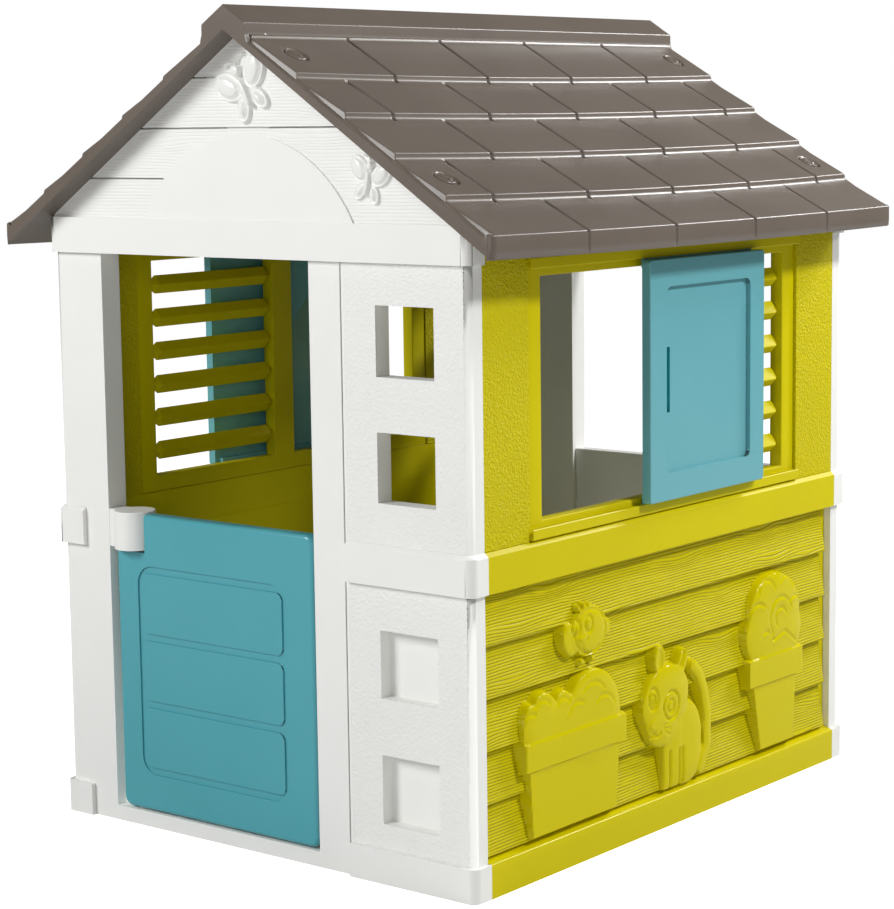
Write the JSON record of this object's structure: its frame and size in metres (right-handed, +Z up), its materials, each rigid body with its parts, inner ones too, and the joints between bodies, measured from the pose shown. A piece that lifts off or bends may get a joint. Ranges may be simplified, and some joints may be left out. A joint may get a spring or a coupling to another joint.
{
  "type": "playhouse",
  "caption": "Children's playhouse of moulded panels with a pitched tiled roof, a half-height swinging door, louvred side windows and sliding shutters.",
  "frame": {"origin": "on the floor under the middle of the house's footprint, at the bottom centre of its box", "axes": "+X to the right of the front wall, +Y from the front wall to the rear wall, +Z up"},
  "size_m": [0.98, 1.1, 1.27],
  "materials": {
    "white_wall": "moulded plaster grain with smooth bands",
    "green_wall": "moulded wood and leather grain, satin bands",
    "turquoise_panel": "satin gloss",
    "shutter_plastic": "satin gloss",
    "roof_plastic": "satin, fine moulded grain",
    "lock_plastic": "satin",
    "peg_plastic": "plain",
    "pin_plastic": "smooth",
    "screw_steel": "zinc plated"
  },
  "bodies": {
    "house": {"door_frame": "white_wall", "front_lower_panel": "white_wall", "front_upper_panel": "white_wall", "front_gable": "white_wall", "rear_frame": "white_wall", "rear_lower_panel": "white_wall", "rear_upper_panel": "white_wall", "rear_infill_panel": "white_wall", "rear_gable": "white_wall", "right_lower_wall": "green_wall", "right_upper_wall": "green_wall", "right_window_frame": "green_wall", "left_lower_wall": "green_wall", "left_upper_wall": "green_wall", "left_window_frame": "green_wall", "roof_right": "roof_plastic", "roof_left": "roof_plastic", "roof_locks": "lock_plastic", "ridge_pegs": "peg_plastic", "door_hinge_bracket": "white_wall", "door_hinge_pins": "pin_plastic", "bracket_screws": "screw_steel", "corner_pegs_lower": "peg_plastic", "corner_pegs_upper": "peg_plastic", "stacking_pegs": "peg_plastic", "gable_pegs": "peg_plastic", "infill_pegs": "peg_plastic"},
    "door": {"door": "turquoise_panel"},
    "right_shutter": {"right_shutter": "shutter_plastic"},
    "left_shutter": {"left_shutter": "shutter_plastic"}
  },
  "joints": [
    {"name": "door_hinge", "type": "hinge", "parent": "house", "child": "door", "pos_m": [-0.265, -0.497, 0.25], "axis": [0, 0, 1], "range_deg": [-100, 0]},
    {"name": "right_shutter_slide", "type": "slide", "parent": "house", "child": "right_shutter", "axis": [0, 1, 0], "range_m": [-0.245, 0.13]},
    {"name": "left_shutter_slide", "type": "slide", "parent": "house", "child": "left_shutter", "axis": [0, 1, 0], "range_m": [-0.202, 0.173]}
  ]
}
